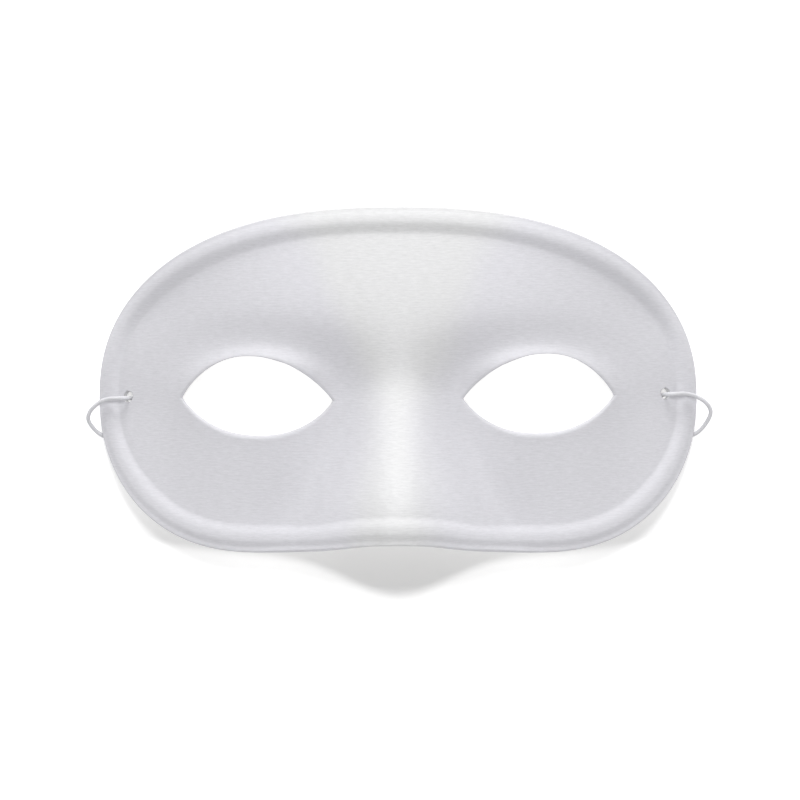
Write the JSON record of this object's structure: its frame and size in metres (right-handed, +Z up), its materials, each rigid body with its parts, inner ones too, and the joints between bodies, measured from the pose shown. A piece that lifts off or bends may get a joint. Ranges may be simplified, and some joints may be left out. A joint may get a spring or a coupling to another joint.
{
  "type": "costume eye mask",
  "caption": "Plain white half mask for the eyes, fabric faced, with almond eye holes, a raised roll round its edge and a thin round elastic.",
  "frame": {"origin": "middle of the mask shell's box in X and Y, on the table plane that its two side ends rest on", "axes": "+X across the face from one side to the other, +Y towards the forehead, +Z up out of the face, so the mask lies face up"},
  "size_m": [0.1667, 0.09, 0.0516],
  "materials": {
    "face_fabric": "soft satin, fine crinkled weave",
    "elastic": "matt braided cover"
  },
  "bodies": {
    "root": {"mask": "face_fabric", "loop_left": "elastic", "loop_right": "elastic", "knot_left": "elastic", "knot_right": "elastic", "strap": "elastic"}
  },
  "joints": []
}
